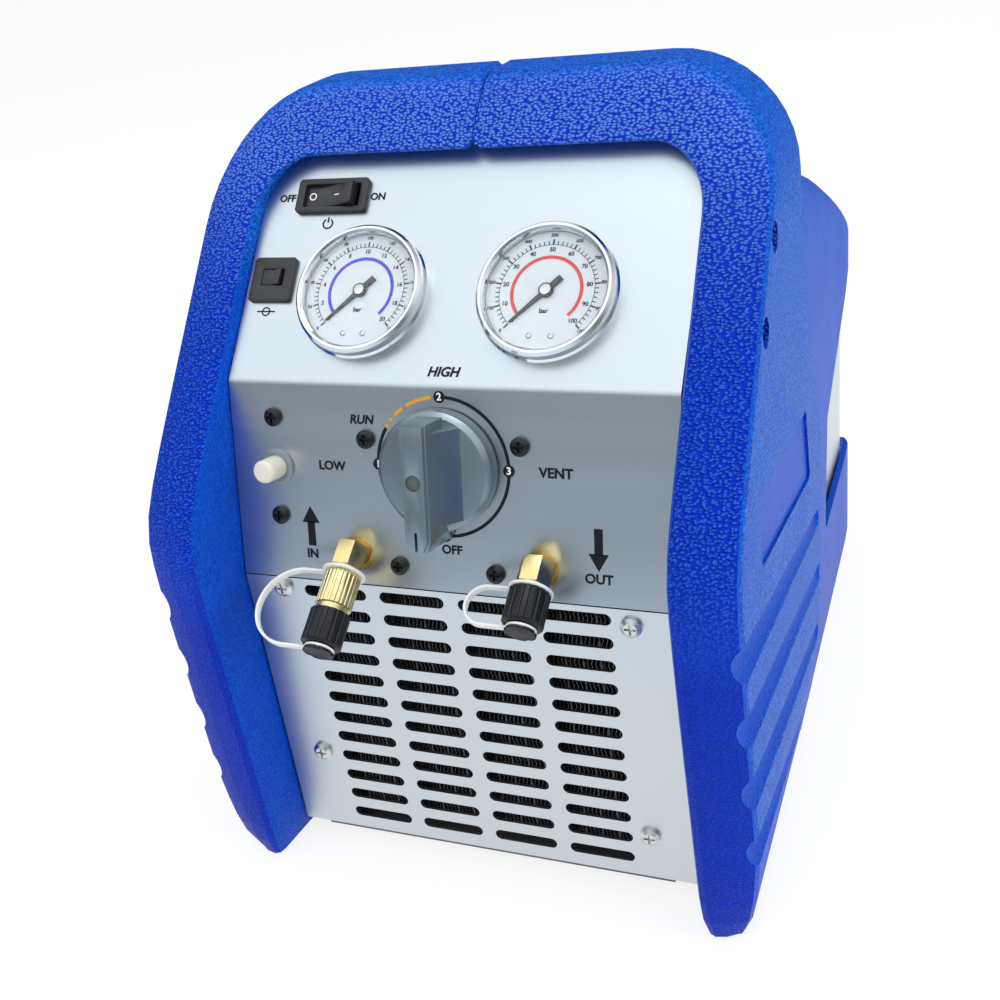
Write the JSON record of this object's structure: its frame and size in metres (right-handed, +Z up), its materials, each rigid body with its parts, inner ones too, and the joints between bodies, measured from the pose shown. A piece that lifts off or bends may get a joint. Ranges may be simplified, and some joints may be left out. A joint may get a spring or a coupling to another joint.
{
  "type": "refrigerant recovery machine",
  "caption": "Portable refrigerant recovery machine: moulded blue half shells form a carrying arch round a folded metal panel with pressure gauges, selector knob, capped ports and grille.",
  "frame": {"origin": "on the floor under the middle of the whole machine's box", "axes": "+X to the machine's right seen from the front, +Y from the panel to the back, +Z up"},
  "size_m": [0.2614, 0.3976, 0.346],
  "materials": {
    "shell_plastic": "fine pebble grain, satin",
    "panel_metal": "fine brushed satin",
    "case_metal": "satin silver paint",
    "pan_metal": "satin dark paint",
    "foot_rubber": "matte",
    "coil_black": "matte black",
    "copper_pipe": "dull copper",
    "shroud_plastic": "matte",
    "fan_plastic": "matte",
    "motor_grey": "satin paint",
    "cast_alloy": "as cast",
    "port_brass": "machined",
    "filter_brass": "knurled",
    "knob_silver": "satin",
    "dark_screw": "black oxide",
    "screw_steel": "zinc",
    "gauge_shell": "satin black",
    "bezel_chrome": "polished",
    "dial_white": "matt white",
    "pointer_black": "satin black",
    "lens_glass": "clear",
    "switch_black": "satin",
    "rocker_black": "semi gloss",
    "reset_ivory": "smooth",
    "cap_black": "ribbed",
    "tether_white": "soft satin"
  },
  "bodies": {
    "housing": {"left_shell": "shell_plastic", "right_shell": "shell_plastic", "front_panel": "panel_metal", "grille_plate": "panel_metal", "top_hood": "case_metal", "case_cover": "case_metal", "rear_panel": "panel_metal", "base_pan": "pan_metal", "rubber_feet": "foot_rubber", "condenser_fins": "coil_black", "condenser_tubes": "copper_pipe", "fan_shroud": "shroud_plastic", "fan_motor": "motor_grey", "compressor_body": "cast_alloy", "cylinder_heads": "cast_alloy", "drive_motor": "motor_grey", "start_capacitor": "switch_black", "vibration_mounts": "foot_rubber", "valve_manifold": "port_brass", "low_gauge_case": "gauge_shell", "low_gauge_bezel": "bezel_chrome", "low_gauge_dial": "dial_white", "low_gauge_lens": "lens_glass", "high_gauge_case": "gauge_shell", "high_gauge_bezel": "bezel_chrome", "high_gauge_dial": "dial_white", "high_gauge_lens": "lens_glass", "switch_body": "switch_black", "breaker_body": "switch_black", "pressure_switch": "switch_black", "inlet_elbow": "port_brass", "inlet_tether": "tether_white", "outlet_elbow": "port_brass", "outlet_tether": "tether_white", "panel_screws": "dark_screw", "grille_screws": "screw_steel", "shell_screws": "dark_screw", "rear_screws": "screw_steel", "power_inlet": "switch_black", "suction_pipe": "copper_pipe", "discharge_pipe": "copper_pipe"},
    "selector": {"valve_stem": "screw_steel", "selector_knob": "knob_silver", "knob_screw": "dark_screw"},
    "low_pointer": {"low_gauge_pointer": "pointer_black"},
    "high_pointer": {"high_gauge_pointer": "pointer_black"},
    "power_rocker": {"power_rocker": "rocker_black"},
    "breaker_rocker": {"breaker_rocker": "rocker_black"},
    "reset_button": {"reset_button": "reset_ivory"},
    "inlet_filter": {"inlet_filter": "filter_brass", "filter_screen": "screw_steel"},
    "inlet_cap": {"inlet_cap": "cap_black"},
    "outlet_cap": {"outlet_cap": "cap_black"},
    "fan": {"fan": "fan_plastic"}
  },
  "joints": [
    {"name": "selector_turn", "type": "hinge", "parent": "housing", "child": "selector", "pos_m": [0, -0.14017, 0.2079], "axis": [0, 0.9703, -0.2419], "range_deg": [0, 270]},
    {"name": "low_pointer_turn", "type": "hinge", "parent": "housing", "child": "low_pointer", "pos_m": [-0.0414, -0.10448, 0.26937], "axis": [0, 0.7242, -0.6896], "range_deg": [0, 270], "stiffness_Nm_per_rad": 0.0005},
    {"name": "high_pointer_turn", "type": "hinge", "parent": "housing", "child": "high_pointer", "pos_m": [0.0414, -0.10448, 0.26937], "axis": [0, 0.7242, -0.6896], "range_deg": [0, 270], "stiffness_Nm_per_rad": 0.0005},
    {"name": "power_rocker_tilt", "type": "hinge", "parent": "housing", "child": "power_rocker", "pos_m": [-0.0655, -0.07131, 0.3013], "axis": [0, 0.6896, 0.7242], "range_deg": [0, 22]},
    {"name": "breaker_rocker_tilt", "type": "hinge", "parent": "housing", "child": "breaker_rocker", "pos_m": [-0.087, -0.09822, 0.27376], "axis": [0, 0.6896, 0.7242], "range_deg": [0, 16]},
    {"name": "reset_press", "type": "slide", "parent": "housing", "child": "reset_button", "axis": [0, 0.9703, -0.2419], "range_m": [0, 0.004], "stiffness_N_per_m": 300},
    {"name": "filter_turn", "type": "hinge", "parent": "housing", "child": "inlet_filter", "pos_m": [-0.042, -0.15765, 0.17083], "axis": [0, -0.8572, -0.515], "range_deg": [0, 360]},
    {"name": "inlet_cap_turn", "type": "hinge", "parent": "inlet_filter", "child": "inlet_cap", "pos_m": [-0.042, -0.15765, 0.17083], "axis": [0, -0.8572, -0.515], "range_deg": [0, 360]},
    {"name": "outlet_cap_turn", "type": "hinge", "parent": "housing", "child": "outlet_cap", "pos_m": [0.042, -0.15765, 0.17083], "axis": [0, -0.8572, -0.515], "range_deg": [0, 360]},
    {"name": "fan_spin", "type": "hinge", "parent": "housing", "child": "fan", "pos_m": [0, -0.09323, 0.084], "axis": [0, 1, 0], "continuous": true}
  ]
}
